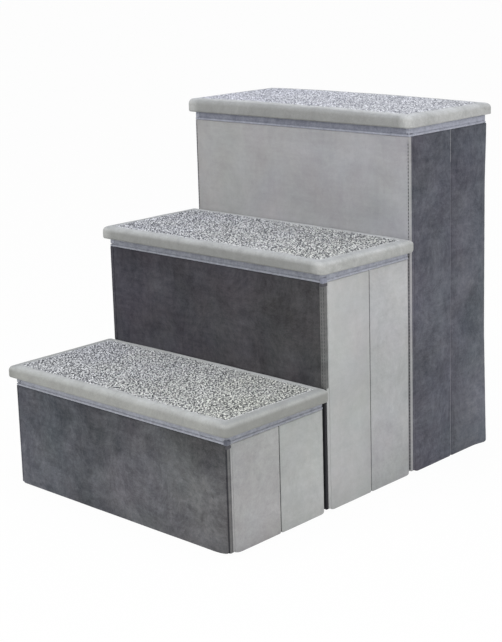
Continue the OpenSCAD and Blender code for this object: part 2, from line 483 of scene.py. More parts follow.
FLANK = {spot: velour("side_{}_velour_{}".format(*spot), *look) for spot, look in FLANK_LOOKS.items()}
# A lit copy of the dark front velour where it turns the corner: painted highlight
EDGE_HIGHLIGHT = velour("edge_velour", grey(107), 8, 14, 10)
PIPING = velour("piping_velour", grey(159, 0, 2), 8, 12, 6)
TAB = velour("tab_velour", grey(88, 1, 4), 8, 14, 6)
# Painted shade and highlight: the cloth behind each crease is dark in the light walls of boxes 1 and
# 2, and light in box 3's dark wall, lighter still near its foot
CREASE_LIGHT_AND_SHADE = {1: velour("crease_1_velour", grey(48), 4, 8, 4),
          2: velour("crease_2_velour", grey(86), 4, 10, 4),
          3: velour("crease_3_velour", grey(128, 0, 7), 6, 14, 8, painted_light_drifts=(("Z", 0.06, 0.2, -34),))}
# Painted highlight at the head of box 3's creases
CREASE_HEAD_HIGHLIGHT = velour("crease_head_velour", grey(150, 0, 4), 6, 12, 6)
# Screen levels of the binding's band and hem, and how blue both are. The fronts and the sides of each
# box get lit and shaded copies: painted light and shade.
BINDING_LIT_LEVELS = {
    ("front", 1): (158, 166, 12), ("front", 2): (144, 158, 12), ("front", 3): (140, 164, 15),
    ("side", 1): (149, 153, 11), ("side", 2): (161, 170, 13), ("side", 3): (169, 174, 15)}
LIT_BINDING, LIT_HEM = {}, {}
for spot, (band_level, hem_level, blue) in BINDING_LIT_LEVELS.items():
    LIT_BINDING[spot] = tape("binding_{}_{}".format(*spot), band_level, blue)
    LIT_HEM[spot] = tape("binding_hem_{}_{}".format(*spot), hem_level, blue)
BLOCK = {1: tape("binding_block_1", 100, 13), 2: tape("binding_block_2", 140, 16)}
# Painted light and shade: each lid's border has its own lit tones for the front and the sides, the
# sides lighter on the higher lids
LIT_PLUSH = {1: plush("border_1_plush", (171, 184, 193), (153, 180, 163)),
         2: plush("border_2_plush", (156, 180, 190), (191, 201, 180), 2),
         3: plush("border_3_plush", (158, 164, 202), (202, 204, 204), 3)}
# Painted light: each lid's carpet has its own lit tones, lid 3's lighter, and then a factor of painted
# shade towards its rear
LIT_LOOPS = {1: loops("carpet_1_loops", (54, 117, 175, 218, 250), 7, -0.0873, 0.87, 0.91),
         2: loops("carpet_2_loops", (48, 112, 170, 214, 249), 8.5, 0.0938, 0.81, 0.92),
         3: loops("carpet_3_loops", (114, 148, 180, 208, 234), 11, 0.2749, 1.0, 0.96)}
BACKING = grainy("carpet_backing", (78, 79, 82), (118, 119, 122), 500, 0.95, 0.2 * MM)
OVERLOCK = grainy("overlock", (150, 152, 155), (206, 208, 211), 420, 0.85, 0.25 * MM)
DARK_THREAD = grainy("dark_thread", (58, 58, 61), (78, 78, 81), 1500, 0.85, 0.1 * MM)
GREY_THREAD = grainy("grey_thread", (92, 92, 95), (116, 116, 119), 1500, 0.8, 0.1 * MM)
# Painted shade: a dark line at box 1's right front corner seam
CORNER_SEAM_SHADE = velour("corner_seam_shade", grey(60, 0, 3), 4, 10, 6)
FIBREBOARD = grainy("fibreboard", (120, 98, 74), (156, 130, 102), 260, 0.8, 0.1 * MM)
FOAM = grainy("foam", (214, 210, 198), (238, 236, 228), 700, 0.95, 0.3 * MM)
# Hook tape, and also the painted shade in the slit between boxes 1 and 2
HOOKS_AND_SLIT_SHADE = grainy("hook_tape", (30, 30, 33), (50, 50, 54), 1300, 0.6, 0.4 * MM)
CLOTH = grainy("base_cloth", (92, 93, 106), (118, 119, 132), 380, 0.9, 0.15 * MM)


# Mesh building

def lines(low, high, low_zone, high_zone, step):
    """Places of grid lines from low to high, closer together near each end."""
    close = [1 - math.cos(math.pi / 2 * i / EDGE_LINES) for i in range(EDGE_LINES)]
    count = max(1, round((high - high_zone - low - low_zone) / step))
    return np.array([*(low + low_zone * c for c in close),
                     *np.linspace(low + low_zone, high - high_zone, count + 1),
                     *(high - high_zone * c for c in close[::-1])])


def box_grid(us, vs, zs):
    """The surface of a box as a grid: its points and quads."""
    found, points, quads = {}, [], []

    def quad(*corners):
        for i, j, k in corners:
            if (i, j, k) not in found:
                found[i, j, k] = len(points)
                points.append((us[i], vs[j], zs[k]))
        quads.append(tuple(found[corner] for corner in corners))

    end_u, end_v, end_z = len(us) - 1, len(vs) - 1, len(zs) - 1
    for i, k in np.ndindex(end_u, end_z):
        quad((i, 0, k), (i + 1, 0, k), (i + 1, 0, k + 1), (i, 0, k + 1))
        quad((i, end_v, k), (i, end_v, k + 1), (i + 1, end_v, k + 1), (i + 1, end_v, k))
    for j, k in np.ndindex(end_v, end_z):
        quad((0, j, k), (0, j, k + 1), (0, j + 1, k + 1), (0, j + 1, k))
        quad((end_u, j, k), (end_u, j + 1, k), (end_u, j + 1, k + 1), (end_u, j, k + 1))
    for i, j in np.ndindex(end_u, end_v):
        quad((i, j, 0), (i, j + 1, 0), (i + 1, j + 1, 0), (i + 1, j, 0))
        quad((i, j, end_z), (i + 1, j, end_z), (i + 1, j + 1, end_z), (i, j + 1, end_z))
    return np.array(points), quads


def ring_faces(rings, count, closed=False):
    """Quads from each ring of count points to the next, and back to the first ring where closed."""
    return [(r * count + i, r * count + (i + 1) % count,
             (r + 1) % rings * count + (i + 1) % count, (r + 1) % rings * count + i)
            for r in range(rings if closed else rings - 1) for i in range(count)]


def tube_faces(rings, count):
    """Rings joined by quads, with flat ends."""
    last = (rings - 1) * count
    ends = [tuple(range(count))[::-1], tuple(range(last, last + count))]
    return ring_faces(rings, count) + ends


def oval(v, z, half_v, half_z, sides):
    """A closed profile round v and z."""
    angles = np.radians(np.linspace(0, 360, sides + 1)[:-1])
    return [(v + half_v * math.cos(a), z + half_z * math.sin(a)) for a in angles]


def rounded_corner(a, b, r):
    """Bends points near a square corner onto a round one. a and b are how far in from its sides."""
    da, db = r - a, r - b
    near = (da > 0) & (db > 0)
    length = np.sqrt(da ** 2 + db ** 2)
    pull = np.maximum(da, db) / np.maximum(length, 1e-9)
    return np.where(near, r - da * pull, a), np.where(near, r - db * pull, b)


def make(name, points, faces, material, body=None, sharp=40, matrix=None, turn_out=False):
    mesh = bpy.data.meshes.new(name)
    mesh.from_pydata([tuple(p) for p in points], [], faces)
    if turn_out:
        shell = bmesh.new()
        shell.from_mesh(mesh)
        bmesh.ops.recalc_face_normals(shell, faces=shell.faces)
        shell.to_mesh(mesh)
        shell.free()
    if matrix is not None:
        mesh.transform(matrix)
    mesh.materials.append(material)
    mesh.shade_smooth()
    mesh.set_sharp_from_angle(angle=math.radians(sharp))
    mesh.update()
    made = bpy.data.objects.new(name, mesh)
    scene.collection.objects.link(made)
    if body is not None:
        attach(made, body)
    return made


def smooth_rise(x):
    x = np.clip(x, 0, 1)
    return x * x * (3 - 2 * x)


def slack(points, span, seed):
    """How loose the cloth is at each point, in soft waves about span long."""
    return np.array([noise.noise(Vector(p) / span + Vector((seed, -seed, 2 * seed))) for p in points])


class Wall:
    """Where one wall stands: its own frame, with u along it, v in from its outer face, and z up."""

    def __init__(self, name):
        low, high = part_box(f"{name}_velour")
        facing, k = name.split("_")[0], int(name.split("_")[1])
        spin, x, y = {"front": (0, low.x, low.y), "right": (90, high.x, low.y),
                      "rear": (180, high.x, high.y), "left": (270, low.x, high.y)}[facing]
        self.name = name
        self.body = {"front": FRONT_BODY[k], "rear": REAR_BODY[k]}.get(facing, name)
        # spot picks the front's or the sides' lit copy of the binding: painted light
        self.spot = ("front" if facing == "front" else "side", k)
        self.w, self.t, self.h = high.x - low.x, high.y - low.y, high.z
        if facing in SIDES:
            self.w, self.t = self.t, self.w
        self.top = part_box(f"{name}_board")[1].z
        self.matrix = Matrix.Translation((x, y, 0)) @ Matrix.Rotation(math.radians(spin), 4, "Z")
        self.seed = sum(ord(c) * (i + 1) for i, c in enumerate(f"{name}_velour")) % 97


def foot_lift(apart, foot):
    """How far a rounded foot has lifted at that distance from the wall's end."""
    along, up = foot
    near = np.clip(1 - apart / along, 0, 1)
    return up * (1 - np.sqrt(1 - near ** 2))


def padded_panel(wall, radii, feet, material, ends=(0, 0), flared=None):
    """A board under foam and velour: a crowned face, round edges, and a roll below the binding.

    radii and feet are of its two upright edges, and ends is how far these are in from the wall's ends.
    flared is the place along the wall of an edge that stands out at the top and at the foot.
    """
    depth = wall.t - LINING_T - LINING_GAP
    low_u, high_u = ends[0], wall.w - ends[1]
    us = lines(low_u, high_u, max(radii[0], feet[0][0]), max(radii[1], feet[1][0]), PAD_STEP)
    vs = np.array(PAD_DEPTHS) * max(*radii, LOW_R)
    vs = np.append(vs[vs < depth - MM], depth)
    zs = lines(0, wall.h, REAR_FOOT[0], TOP_ROLL_Z, PAD_STEP)
    points, quads = box_grid(us, vs, zs)
    u, v, z = points.T.copy()
    from_side = np.minimum(u - low_u, high_u - u)
    reach = smooth_rise(from_side / CROWN_REACH)
    rise = smooth_rise(z / CROWN_REACH) * smooth_rise((wall.h - z) / (2 * TOP_ROLL_Z) + 0.4)
    roll = np.exp(-(((wall.h - z) - TOP_ROLL_Z) / TOP_ROLL_W) ** 2) * reach
    loose = slack(points, SLACK_SPAN, wall.seed)
    loose += FINE_SLACK * slack(points, SLACK_SPAN / 3, wall.seed + 1)
    pucker = np.sin(z / PUCKER_SPAN * 2 * math.pi + wall.seed) * np.exp(-from_side / PUCKER_REACH)
    out = CROWN * (reach * rise - CROWN_SINK) + TOP_ROLL * roll
    out = out + SLACK * loose * reach + PUCKER * pucker
    if flared is not None:
        high_up = smooth_rise(5 * z / wall.h - 4)
        out += smooth_rise(1 - np.abs(u - flared) / FLARE_REACH) * (
            FLARE_TOP * high_up + FLARE_FOOT * np.clip(1 - z / FLARE_H, 0, 1))
    face = np.clip(1 - v / (depth * PAD_FACE), 0, 1)
    first_half = u < wall.w / 2
    foot = np.where(first_half, foot_lift(u - low_u, feet[0]), foot_lift(high_u - u, feet[1]))
    first, v1 = rounded_corner(u - low_u, v, radii[0])
    last, v2 = rounded_corner(high_u - u, v1, radii[1])
    u = np.where(first_half, low_u + first, high_u - last)
    z, v3 = rounded_corner(z, v2, LOW_R)
    up, v4 = rounded_corner(wall.h - z, v3, TOP_R)
    z = wall.h - up
    z = z + foot * np.clip(1 - z / FOOT_BLEND, 0, 1)
    points = np.stack([u, v4 - out * face, z], 1)
    made = make(f"{wall.name}_pad", points, quads, material, wall.body, 50, wall.matrix)
    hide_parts(f"{wall.name}_velour")


def swept(name, profile, us, material, body, matrix, wave=0.0, seed=0):
    """A closed profile in v and z, carried along u, with flat ends."""
    points = np.array([(u, v, z) for u in us for v, z in profile])
    if wave:
        points[:, 1] += wave * slack(points * (1, 1, 0), SLACK_SPAN / 2, seed)
    return make(name, points, tube_faces(len(us), len(profile)), material, body, 50, matrix)


def arc(cv, cz, r, start, stop, steps=5):
    angles = [math.radians(start + (stop - start) * i / steps) for i in range(steps + 1)]
    return [(cv + r * math.cos(a), cz + r * math.sin(a)) for a in angles]


def bound_lining(wall, start, end):
    """Lining on the inner face, folded over the top edge as the binding, with a groove at its hem."""
    low, top, inner, inset = wall.h + LINING_GAP, wall.top, wall.t, BINDING_INSET
    groove, sheet_v = low + HEM_H, inner - LINING_T
    profile = [(inner, LINING_LOW)]
    profile += arc(inner - BINDING_R, top - BINDING_R, BINDING_R, 0, 90)
    profile += arc(inset + BINDING_R, top - BINDING_R, BINDING_R, 90, 180)
    profile += [(inset, groove + 1.5 * GROOVE_H), (inset + GROOVE_DEEP, groove + GROOVE_H),
                (inset + GROOVE_DEEP, low + GROOVE_LOW), (inset + 1.2 * GROOVE_DEEP, low)]
    profile += [(sheet_v, low), (sheet_v, LINING_LOW)]
    us = np.linspace(start, wall.w - end, max(2, round(wall.w / (2 * PAD_STEP))))
    made = swept(f"{wall.name}_lining", profile, us, LIT_BINDING[wall.spot], wall.body, wall.matrix,
                 BINDING_SLACK, wall.seed)
    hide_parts(f"{wall.name}_board")


def hem_profile(wall):
    """The hem of the binding: a flattened roll that stands proud of the band above it."""
    return oval(HEM_IN, wall.h + LINING_GAP + HEM_H / 2, HEM_T / 2, HEM_H / 2, 12)


def hem(wall, start, end):
    us = np.linspace(start, wall.w - end, max(2, round(wall.w / PAD_STEP)))
    swept(f"{wall.name}_hem", hem_profile(wall), us, LIT_HEM[wall.spot], wall.body, wall.matrix,
          HEM_SLACK, wall.seed + 3)


def bridge(name, wall, profile, reach, material, bodies):
    """Cloth swept across a gap at a wall's end. It rides on its one body, or stays unattached where
    the hinge joins two.
    """
    made = swept(name, profile, np.linspace(*reach, BRIDGE_STEPS), material, None, wall.matrix)
    if len(bodies) == 1:
        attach(made, bodies[0])
        return
    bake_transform(made)


def bar(v0, v1, z0, z1, r):
    """A rounded bar's outline, from v0 to v1 and z0 to z1."""
    return (arc(v1 - r, z0 + r, r, 270, 360, 2) + arc(v1 - r, z1 - r, r, 0, 90, 2)
            + arc(v0 + r, z1 - r, r, 90, 180, 2) + arc(v0 + r, z0 + r, r, 180, 270, 2))


def softened(outline):
    """Rounds each corner of a closed outline. A corner is its two coordinates and its radius."""
    found = []
    for i, (x, y, r) in enumerate(outline):
        here = Vector((x, y))
        if r == 0:
            found.append(here)
            continue
        ends = []
        for other in (outline[i - 1], outline[(i + 1) % len(outline)]):
            away = Vector(other[:2]) - here
            ends.append(here + away.normalized() * min(r, away.length / 2))
        for t in (0, 0.33, 0.67, 1):
            found.append(ends[0] * (1 - t) ** 2 + here * 2 * t * (1 - t) + ends[1] * t ** 2)
    return found


def strip_outline(inward, start, stop, corner_r, channels=()):
    """Plan of a strip at a corner: from start to stop along the side, and inward along the front."""
    outline = [(0, start, corner_r)]
    for place in channels:
        outline += [(0, place - CHANNEL_W, CHANNEL_R), (CHANNEL_DEEP, place, CHANNEL_R),
                    (0, place + CHANNEL_W, CHANNEL_R)]
    return outline + [(0, stop, STRIP_R), (inward, stop, 0), (inward, start, STRIP_R)]


def angle_outline(out, front, side, thick):
    """Plan of a band folded round a corner, out that far in from both faces."""
    return [(out, out, CORNER_FOLD_R), (out, side, STRIP_R), (out + thick, side, 0),
            (out + thick, out + thick, 0), (front, out + thick, 0), (front, out, STRIP_R)]


def upright(name, wall, right, outline, low, high, material):
    """A strip that runs up the corner at one end of a front wall, drawn in at its own ends."""
    plan = softened(outline)
    middle = sum(plan, Vector((0, 0))) / len(plan)
    steps = max(2, round((high - low) / PAD_STEP))
    inner = np.linspace(low + 2 * STRIP_END, high - 2 * STRIP_END, steps)
    levels = [low, low + STRIP_END, *inner, high - STRIP_END, high]
    last = len(levels) - 1
    points = []
    for i, z in enumerate(levels):
        shrink = STRIP_TAPER[min(i, last - i, 2)]
        wave = STRIP_WAVE * noise.noise(Vector((wall.seed, 0, z / STRIP_WAVE_SPAN)))
        for p in plan:
            a, v = middle + (p - middle) * shrink
            points.append((wall.w - a + wave if right else a - wave, v, z))
    count = len(plan)
    faces = ring_faces(len(levels), count)
    faces += [tuple(range(first, first + count)) for first in (0, last * count)]
    make(name, points, faces, material, wall.body, 50, wall.matrix, turn_out=True)


def stitch_column(name, wall, right, inward, back, low, high, material):
    """Stitches up a corner, as flat spindles: on its front at inward, or on its side at back."""
    spin = wall.matrix.to_3x3()
    on_front = back == 0
    u = wall.w - inward if right else inward
    start = wall.matrix @ Vector((u, back - (0.05 * MM if on_front else 0), low))
    across = spin @ Vector((1, 0, 0) if on_front else (0, 1, 0))
    out = spin @ Vector((0, -1, 0) if on_front else (1 if right else -1, 0, 0))
    step, along = Vector((0, 0, STITCH_PITCH)), Vector((0, 0, STITCH_L / 2))
    shape = tube_faces(len(STITCH_RINGS), STITCH_SIDES)
    points, faces = [], []
    for i in range(int((high - low) / STITCH_PITCH)):
        middle = start + step * (i + 0.5)
        faces += [tuple(len(points) + corner for corner in face) for face in shape]
        for place, size in STITCH_RINGS:
            for s in range(STITCH_SIDES):
                turn = 2 * math.pi * s / STITCH_SIDES
                lift = across * math.cos(turn) * STITCH_R
                lift += out * math.sin(turn) * STITCH_R * STITCH_FLAT
                points.append(middle + along * place + lift * size)
    make(name, points, faces, material, wall.body, 60)


def front_corner(k, side, wall):
    """The cloth of one front corner, from the end of the front velour to the hinge."""
    right = side == "right"
    inward = FACE_END[k] - STRIP_GAP
    low, high = STRIP_LIFT[side], wall.h
    name = f"{wall.name}_{side}"
    flank = FLANK[k, "front"]
    # Only the right side, in view, gets painted light: a lit edge, a dark seam line and black cloth in
    # the slit. The left keeps the face velour.
    edge, cord, slit_shade = (EDGE_HIGHLIGHT, CORNER_SEAM_SHADE, HOOKS_AND_SLIT_SHADE) if right else (FACE[k],) * 3

    def strip(part, outline, material, z0=low, z1=high):
        upright(f"{name}_{part}", wall, right, outline, z0, z1, material)

    def column(part, a, v, material, z0=low + 2 * MM, z1=high - TAB_H):
        stitch_column(f"{name}_{part}", wall, right, a, v, z0, z1, material)

    def plan(start, stop, corner_r=STRIP_R, channels=(), width=inward):
        return strip_outline(width, start, stop, corner_r, channels)

    if k == 1:
        channel = CHANNEL_PLACE[k]
        strip("cord", plan(0.1 * MM, CORD_STOP, CORNER_FOLD_R), cord, low + 0.7 * MM)
        strip("edge", plan(CORD_STOP + STRIP_GAP, EDGE_STOP, channels=(channel,)), edge)
        strip("margin", plan(EDGE_STOP + STRIP_GAP, STRIP_STOP), flank)
        column("stitches", 0, channel, GREY_THREAD)
    elif k == 2:
        lid_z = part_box("lid_1_border")[1].z - LID_COVERS
        under_z = lid_z - 0.2 * MM
        strip("wrap", plan(0, WRAP_STOP, CORNER_FOLD_R, (CHANNEL_PLACE[k],)), edge, lid_z)
        strip("edge", plan(WRAP_STOP + STRIP_GAP, STRIP_STOP, width=STRIP_BACK), flank, lid_z)
        # Painted shade: black cloth below lid 1's level, in the slit behind box 1
        strip("low_wrap", plan(0.3 * MM, SLIT_STOP, CORNER_FOLD_R), slit_shade, low, under_z)
        strip("low_edge", plan(SLIT_STOP + STRIP_GAP, STRIP_STOP, width=STRIP_BACK), flank,
              low, under_z)
        column("front_stitches", 2.5 * MM, 0, DARK_THREAD, lid_z)
        column("side_stitches", 0, 1.4 * MM, DARK_THREAD, lid_z)
    else:
        strip("piping", plan(0.2 * MM, PIPING_STOP, CORNER_FOLD_R), PIPING)
        strip("edge", plan(PIPING_STOP + STRIP_GAP, STRIP_STOP), flank)
        column("stitches", inward + 0.1 * MM, 0, DARK_THREAD)
    low, high = wall.h + LINING_GAP, wall.top
    inset = BINDING_INSET if right else 0.4 * MM
    around = angle_outline(inset, 2 * BLOCK_FRONT, STRIP_STOP, 1.2 * MM)
    hem_cloth = LIT_HEM["side", k]
    strip("binding", around, LIT_BINDING["side", k], low + HEM_H + GROOVE_H, high - MM)
    around = angle_outline(0.1 * MM, BLOCK_FRONT, STRIP_STOP, HEM_T)
    strip("hem", around, hem_cloth, low + 0.1 * MM, low + HEM_H)
    if k == 3:
        around = angle_outline(0.8 * MM, 1.8 * MM, 2.2 * MM, 1.2 * MM)
        strip("fold", around, hem_cloth, low + HEM_H, high - MM)
    elif right:
        around = angle_outline(-0.5 * MM, BLOCK_FRONT, BLOCK_SIDE[k], 1.8 * MM)
        strip("block", around, BLOCK[k], low - 0.5 * MM, low + BLOCK_H[k])
        around = angle_outline(-0.2 * MM, inward, BLOCK_SIDE[k] + MM, 1.5 * MM)
        strip("tab", around, TAB, low - TAB_H, low - TAB_GAP)


# Lids

def lid_outline(low, high, inset):
    """A round-cornered outline inset from a lid's edge, with as many points at any inset."""
    low_x, low_y = low.x + inset, low.y + inset
    high_x, high_y = high.x - inset, high.y - inset
    r, tight, less = (max(outer - inset, LEAST_R) for outer in (LID_R, REAR_RIGHT_R, FRONT_LEFT_R))
    corners = ((high_x - tight, high_y - tight, 0, tight), (low_x + r, high_y - r, 90, r),
               (low_x + less, low_y + less, 180, less), (high_x - r, low_y + r, 270, r))
    points = []
    for i, (x, y, start, r) in enumerate(corners):
        angles = np.radians(np.linspace(start, start + 90, CORNER_POINTS))
        points += [(x + r * math.cos(a), y + r * math.sin(a)) for a in angles]
        to_x, to_y, turn, to_r = corners[(i + 1) % 4]
        goal_x = to_x + to_r * math.cos(math.radians(turn))
        goal_y = to_y + to_r * math.sin(math.radians(turn))
        span = high.x - low.x if i % 2 == 0 else high.y - low.y
        count = round(span / LID_STEP)
        x, y = points[-1]
        points += [(x + (goal_x - x) * s / count, y + (goal_y - y) * s / count)
                   for s in range(1, count)]
    return points


def lid_crown(k, x, y):
    """How far a lid's top stands up at x, y: its swell, less its sink towards the rear."""
    low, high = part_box(f"lid_{k}_border")
    swell = np.polyfit(np.linspace(-1, 1, 5), LID_SWELL[k], 4)
    sink = np.polyfit((-1, 1), LID_SINK[k], 1)
    back = smooth_rise((y - low.y) / (high.y - low.y))
    return MM * (np.polyval(swell, x / high.x) - back * np.polyval(sink, x / high.x))


def lid_ring(name, k, profile, material, wave):
    """A closed profile of inset and height, carried round a lid."""
    low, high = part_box(f"lid_{k}_border")
    rings = [lid_outline(low, high, inset) for inset, _ in profile]
    points = np.array([(x, y, low.z + z) for (_, z), ring in zip(profile, rings) for x, y in ring])
    loose = slack(points, SLACK_SPAN * 0.8, k) + 0.4 * slack(points, SLACK_SPAN / 4, k + 5)
    above = points[:, 2] - low.z
    points[:, 2] += wave * loose * np.clip(above / LID_SLACK_FROM, 0, 1)
    x, y = points[:, 0], points[:, 1]
    points[:, 2] += lid_crown(k, x, y) * np.clip(above / (high.z - low.z), 0, 1)
    on_rear_wall = smooth_rise((y - high.y) / REST_FADE + 1.5)
    on_rear_wall *= smooth_rise((high.x - REST_END - np.abs(x)) / REST_END)
    sag = 1 + END_SAG[k] * smooth_rise(x / high.x) * smooth_rise((y - low.y) / (high.y - low.y))
    points[:, 2] += np.minimum(above, 0) * (sag * (1 - on_rear_wall) - 1)
    faces = ring_faces(len(rings), len(rings[0]), closed=True)
    return make(name, points, faces, material, f"lid_{k}", 55, turn_out=True)


def lid_border(k):
    """A roll of plush round the foam: flat below, round outside, drawn down at the carpet's seam."""
    low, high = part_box(f"lid_{k}_border")
    h = high.z - low.z
    quarter = np.radians(np.linspace(0, 90, 8))
    under, over = BORDER_LOW_R, BORDER_TOP_R
    profile = [(TURN_IN, TURN_T), (TURN_IN, 0), (TURN_IN / 4, 0)]
    profile += [(under * (1 - math.sin(a)), under * (1 - math.cos(a)) - BORDER_DROP) for a in quarter]
    profile += [(over * (1 - math.cos(a)), h - over * (1 - math.sin(a))) for a in quarter]
    profile += [(BORDER_FLAT, h)]
    profile += [(BORDER_W + out * MM, h - deep * MM) for out, deep in BORDER_SEAM]
    profile += [(over, h - BORDER_T), (BORDER_T, h - over), (BORDER_T, under), (under, TURN_T)]
    made = lid_ring(f"lid_{k}_plush_border", k, profile, LIT_PLUSH[k], LID_SLACK)
    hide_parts(f"lid_{k}_border")
    cord = oval(BORDER_W + OVERLOCK_OUT, h - OVERLOCK_DEEP, OVERLOCK_R, OVERLOCK_R, 8)
    lid_ring(f"lid_{k}_overlock", k, cord, OVERLOCK, 1.6 * LID_SLACK)


def scattered(values, contrast):
    """Makes each value on a grid unlike its neighbours', then spreads them all evenly from 0 to 1."""
    steps = ((0, 1), (0, -1), (1, 0), (-1, 0), (1, -1), (-1, 1))
    around = sum(np.roll(values, step, (0, 1)) for step in steps)
    ranks = np.argsort(np.argsort((values - contrast * around / 6).ravel()))
    return ranks.reshape(values.shape) / values.size


def lid_carpet(k):
    """A backing with a loop at each place of a shaken hexagonal grid. Each loop has its own tone."""
    low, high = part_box(f"lid_{k}_carpet")
    base_z = high.z - LOOP_H
    us, vs = (lines(low[i] + CARPET_MARGIN, high[i] - CARPET_MARGIN, CARPET_R, CARPET_R, LID_STEP)
              for i in (0, 1))
    points, faces = box_grid(us, vs, np.array([low.z + 0.05 * MM, base_z + 0.4 * MM]))
    x, y, z = points.T
    z = z + lid_crown(k, x, y) * (z > base_z)
    middle = (low + high) / 2
    half_x, half_y = us[-1] - middle.x, vs[-1] - middle.y
    in_x, in_y = half_x - np.abs(x - middle.x), half_y - np.abs(y - middle.y)
    in_x, in_y = rounded_corner(in_x, in_y, CARPET_R)
    x = middle.x + np.sign(x - middle.x) * (half_x - in_x)
    y = middle.y + np.sign(y - middle.y) * (half_y - in_y)
    backing = make(f"lid_{k}_carpet_backing", np.stack([x, y, z], 1), faces, BACKING, f"lid_{k}", 40)
    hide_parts(f"lid_{k}_carpet")

    chance = np.random.default_rng(k)
    row_gap = LOOP_PITCH * math.sqrt(3) / 2
    row, column = np.meshgrid(np.arange(int((high.y - low.y) / row_gap) + 1),
                              np.arange(int((high.x - low.x) / LOOP_PITCH) + 1), indexing="ij")
    x = low.x + (column + 0.5 * (row % 2)) * LOOP_PITCH
    x = x + chance.uniform(-1, 1, row.shape) * LOOP_JITTER
    y = low.y + row * row_gap + chance.uniform(-1, 1, row.shape) * LOOP_JITTER
    reach_x, reach_y = (np.abs(p - (low[i] + high[i]) / 2) - ((high[i] - low[i]) / 2 - CARPET_R)
                        for i, p in enumerate((x, y)))
    over = np.hypot(np.maximum(reach_x, 0), np.maximum(reach_y, 0))
    over = over + np.minimum(np.maximum(reach_x, reach_y), 0)
    inside = CARPET_R - over
    kept = inside > chance.uniform(-1, 1, row.shape) * CARPET_RAGGED - CARPET_OVER
    tones = scattered(chance.uniform(0, 1, row.shape), TONE_CONTRAST[k])[kept]
    x, y, inside = (values[kept][:, None, None] for values in (x, y, inside))
    floor_z = base_z + lid_crown(k, x, y)
    total = len(x)

    def draw(least, most):
        return chance.uniform(least, most, (total, 1, 1))

    size = LOOP_R * draw(0.85, 1.15)
    tall = LOOP_H * draw(0.6, 1.15) * (0.75 + 0.25 * np.clip(inside / LOOP_WORN, 0, 1))
    lean_x, lean_y = draw(-0.5, 0.5) * MM, draw(-0.5, 0.5) * MM
    stretch, turn = draw(0.72, 1.38), draw(0, math.pi)
    wide, up = (np.array(values)[None, :, None] for values in LOOP_RINGS)
    angle = np.linspace(0, 2 * math.pi, LOOP_SIDES + 1)[None, None, :-1]
    px, py = size * wide * np.cos(angle) * stretch, size * wide * np.sin(angle) / stretch
    rings = np.stack([x + px * np.cos(turn) - py * np.sin(turn) + lean_x * up,
                      y + px * np.sin(turn) + py * np.cos(turn) + lean_y * up,
                      floor_z + tall * up + 0 * px], 3).reshape(total, -1, 3)
    tips = np.stack([x + lean_x, y + lean_y, floor_z + tall], 3).reshape(total, 1, 3)
    points = np.concatenate([rings, tips], 1)
    each = points.shape[1]
    shape = [tuple(range(LOOP_SIDES))[::-1]]
    for s in range(LOOP_SIDES):
        t = (s + 1) % LOOP_SIDES
        shape += [(s, t, LOOP_SIDES + t, LOOP_SIDES + s), (LOOP_SIDES + s, LOOP_SIDES + t, each - 1)]
    in_front = y[:, 0, 0] < (low.y + high.y) / 2
    for part, kept in (("front", in_front), ("rear", ~in_front)):
        count = int(kept.sum())
        faces = [tuple(base + corner for corner in face)
                 for base in range(0, count * each, each) for face in shape]
        pile = make(f"lid_{k}_{part}_loops", points[kept].reshape(-1, 3), faces, LIT_LOOPS[k],
                    f"lid_{k}", 180)
        tone = pile.data.attributes.new("tone", "FLOAT", "POINT")
        tone.data.foreach_set("value", np.repeat(tones[kept], each))


def base_sheet(k):
    """The base cloth, sewn in at both sides and slack in the middle."""
    low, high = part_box(f"base_cloth_{k}")
    us, vs = (np.linspace(low[i], high[i], SHEET_LINES[i]) for i in (0, 1))
    points, quads = box_grid(us, vs, np.array([low.z, high.z - SHEET_T]))
    from_side = np.minimum(points[:, 0] - low.x, high.x - points[:, 0])
    middle = np.clip(from_side / SHEET_HELD, 0, 1)
    points[:, 2] += SHEET_SLACK * middle * (1 + slack(points, SHEET_SPAN, k))
    made = make(f"box_{k}_base_sheet", points, quads, CLOTH, REAR_BODY[k], 60)
    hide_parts(f"base_cloth_{k}")
    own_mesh(made)


def storage_box(k):
    """The walls of one box, with their lining, binding and hinges."""
    front, rear = Wall(f"front_{k}"), Wall(f"rear_{k}")
    padded_panel(front, (HINGE_R, HINGE_R), FRONT_FEET, FACE[k], (FACE_END[k], FACE_END[k]))
    padded_panel(rear, (HINGE_R, HINGE_R), (HINGE_FOOT, HINGE_FOOT), FLANK[k, "rear"])
    bound_lining(front, BAND_END, BAND_END)
    bound_lining(rear, BINDING_END, BINDING_END)
    hem(front, HEM_END, HEM_END)
    hem(rear, BINDING_END, BINDING_END)
    for side in SIDES:
        front_corner(k, side, front)
        for half in HALVES:
            wall = Wall(f"{side}_{k}_{half}")
            at_rear = half == "rear"
            radii = (CREASE_R, CORNER_R if at_rear else HINGE_R)
            feet = (CREASE_FOOT, REAR_FOOT if at_rear else SIDE_FOOT[k])
            ends = (BINDING_END, BINDING_INSET if at_rear else BINDING_END)
            rear_edge = wall.w
            if at_rear != (side == "right"):
                radii, feet, ends, rear_edge = radii[::-1], feet[::-1], ends[::-1], 0
            flared = rear_edge if k == 3 and at_rear else None
            padded_panel(wall, radii, feet, FLANK[k, half], flared=flared)
            bound_lining(wall, *ends)
            hem(wall, *ends)
        hinge_cloth(k, side)


